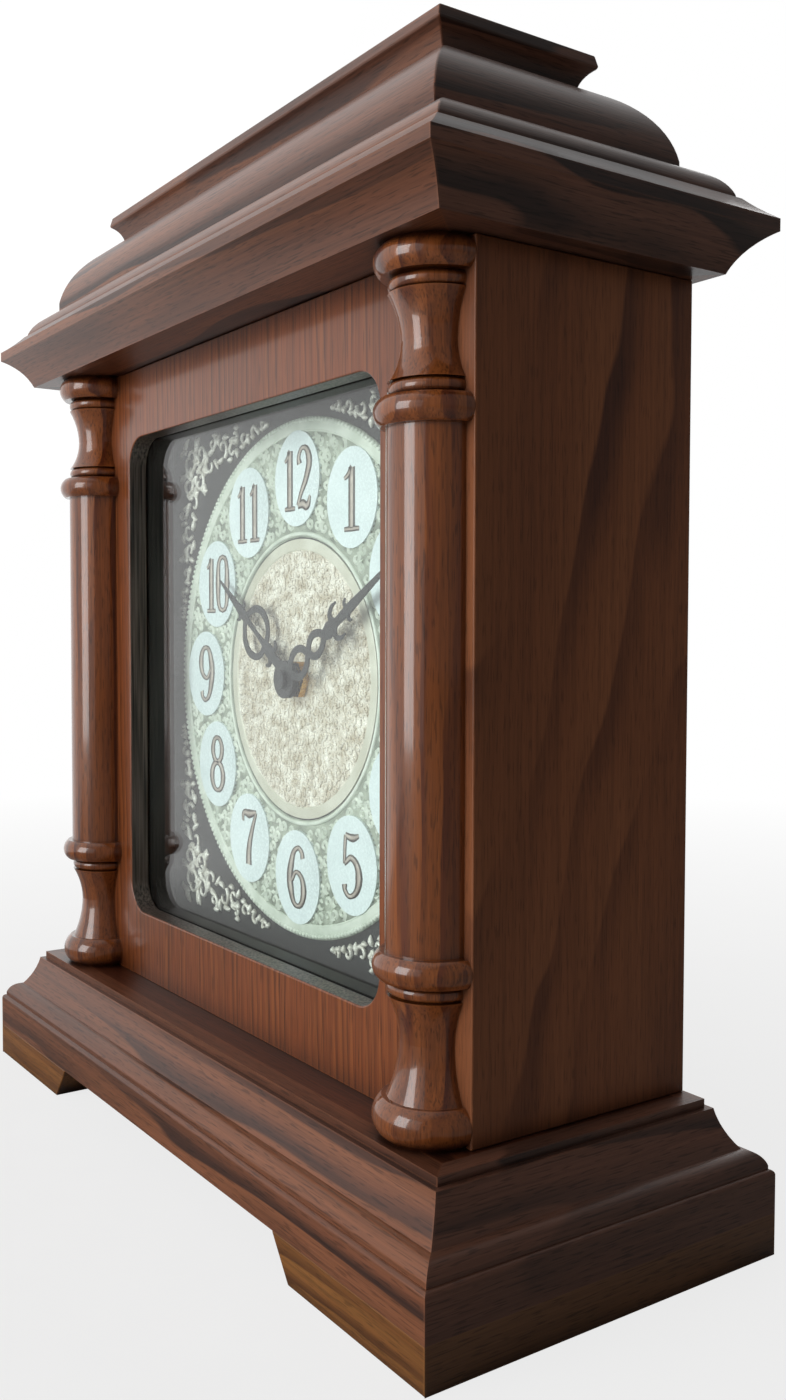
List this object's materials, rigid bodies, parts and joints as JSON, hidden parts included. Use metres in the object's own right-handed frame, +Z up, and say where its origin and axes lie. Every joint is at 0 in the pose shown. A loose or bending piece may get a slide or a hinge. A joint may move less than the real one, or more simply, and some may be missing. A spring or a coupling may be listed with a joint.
{
  "type": "table clock",
  "caption": "Wooden bracket-style table clock with turned half columns, moulded base and cornice, domed top, glazed dial, working hands, quartz movement and hinged rear door.",
  "frame": {"origin": "on the floor under the middle of the base", "axes": "+Z up, +X to the right of someone facing the dial, -Y out of the dial"},
  "size_m": [0.299, 0.123, 0.34],
  "materials": {
    "case_wood": "gloss lacquer on dark walnut",
    "moulding_wood": "gloss lacquer on dark walnut",
    "front_wood": "gloss lacquer on red-brown veneer",
    "column_wood": "gloss lacquer on turned red-brown wood",
    "foot_wood": "satin lacquer on lighter wood",
    "carcass_wood": "satin stained board",
    "black_wood": "matt black stain",
    "glass": "clear polished",
    "dial_black": "satin black paint",
    "dial_white": "satin ivory paint",
    "dial_gold": "embossed pale gilt",
    "hand_black": "satin black paint",
    "brass": "polished",
    "steel": "plated",
    "catch_plastic": "moulded",
    "housing_plastic": "moulded",
    "wheel_plastic": "moulded",
    "copper": "enamelled winding wire",
    "circuit": "solder resist",
    "cell": "printed sleeve"
  },
  "bodies": {
    "case": {"side_panel_left": "case_wood", "side_panel_right": "case_wood", "base_moulding_front": "moulding_wood", "base_moulding_right": "moulding_wood", "base_moulding_back": "moulding_wood", "base_moulding_left": "moulding_wood", "cornice_front": "moulding_wood", "cornice_right": "moulding_wood", "cornice_back": "moulding_wood", "cornice_left": "moulding_wood", "ledge_board": "moulding_wood", "dome": "moulding_wood", "cap": "moulding_wood", "front_panel": "front_wood", "column_left": "column_wood", "column_right": "column_wood", "foot_front_left": "foot_wood", "foot_front_right": "foot_wood", "foot_side_left": "foot_wood", "foot_side_right": "foot_wood", "foot_back": "foot_wood", "base_board": "carcass_wood", "case_top_board": "carcass_wood", "back_panel": "carcass_wood", "dial_surround": "black_wood", "glass_stops": "black_wood", "glass_pane": "glass", "dial_plate": "dial_black", "chapter_ring": "dial_white", "centre_disc": "dial_gold", "spandrels": "dial_gold", "hinge_leaf_frame": "brass", "hinge_pins": "brass", "hinge_screws_frame": "brass", "movement_nut": "brass", "dial_screws": "steel", "stator": "steel", "battery_contacts": "steel", "magnet_catch": "catch_plastic", "movement_housing": "housing_plastic", "movement_cover": "housing_plastic", "coil": "copper", "circuit_board": "circuit", "battery": "cell"},
    "door": {"rear_door": "carcass_wood", "hinge_leaf_door": "brass", "hinge_screws_door": "brass", "door_knob": "brass"},
    "minute": {"minute_arbor": "brass", "minute_hand": "hand_black", "hand_nut": "hand_black"},
    "hour": {"hour_wheel": "wheel_plastic", "hour_hand": "hand_black"},
    "motion": {"motion_wheel": "wheel_plastic"},
    "setting": {"setting_knob": "housing_plastic"},
    "second": {"second_wheel": "wheel_plastic"},
    "third": {"third_wheel": "wheel_plastic"},
    "centre": {"centre_wheel": "wheel_plastic"},
    "intermediate": {"intermediate_wheel": "wheel_plastic"},
    "rotor_body": {"rotor": "wheel_plastic"}
  },
  "joints": [
    {"name": "door_hinge", "type": "hinge", "parent": "case", "child": "door", "pos_m": [0.0745, 0.0493, 0.16], "axis": [0, 0, -1], "range_deg": [0, 110]},
    {"name": "minute_spin", "type": "hinge", "parent": "case", "child": "minute", "pos_m": [0, 0, 0.16], "axis": [0, 1, 0], "continuous": true},
    {"name": "hour_spin", "type": "hinge", "parent": "case", "child": "hour", "pos_m": [0, 0, 0.16], "axis": [0, 1, 0], "continuous": true},
    {"name": "motion_spin", "type": "hinge", "parent": "case", "child": "motion", "pos_m": [0, 0, 0.169], "axis": [0, 1, 0], "continuous": true},
    {"name": "setting_spin", "type": "hinge", "parent": "case", "child": "setting", "pos_m": [0, 0, 0.178], "axis": [0, 1, 0], "continuous": true},
    {"name": "second_spin", "type": "hinge", "parent": "case", "child": "second", "pos_m": [0, 0, 0.16], "axis": [0, 1, 0], "continuous": true},
    {"name": "third_spin", "type": "hinge", "parent": "case", "child": "third", "pos_m": [0.00987, 0, 0.16359], "axis": [0, 1, 0], "continuous": true},
    {"name": "centre_spin", "type": "hinge", "parent": "case", "child": "centre", "pos_m": [0, 0, 0.16], "axis": [0, 1, 0], "continuous": true},
    {"name": "intermediate_spin", "type": "hinge", "parent": "case", "child": "intermediate", "pos_m": [-0.01034, 0, 0.16376], "axis": [0, 1, 0], "continuous": true},
    {"name": "rotor_spin", "type": "hinge", "parent": "case", "child": "rotor_body", "pos_m": [-0.01341, 0, 0.17222], "axis": [0, 1, 0], "continuous": true}
  ],
  "couplings": [
    {"joint": "motion_spin", "follows": "minute_spin", "ratio": -0.33333},
    {"joint": "hour_spin", "follows": "minute_spin", "ratio": 0.083333},
    {"joint": "setting_spin", "follows": "minute_spin", "ratio": 1},
    {"joint": "third_spin", "follows": "second_spin", "ratio": -0.13333},
    {"joint": "centre_spin", "follows": "second_spin", "ratio": 0.016667},
    {"joint": "intermediate_spin", "follows": "second_spin", "ratio": -5},
    {"joint": "rotor_spin", "follows": "second_spin", "ratio": 30}
  ]
}
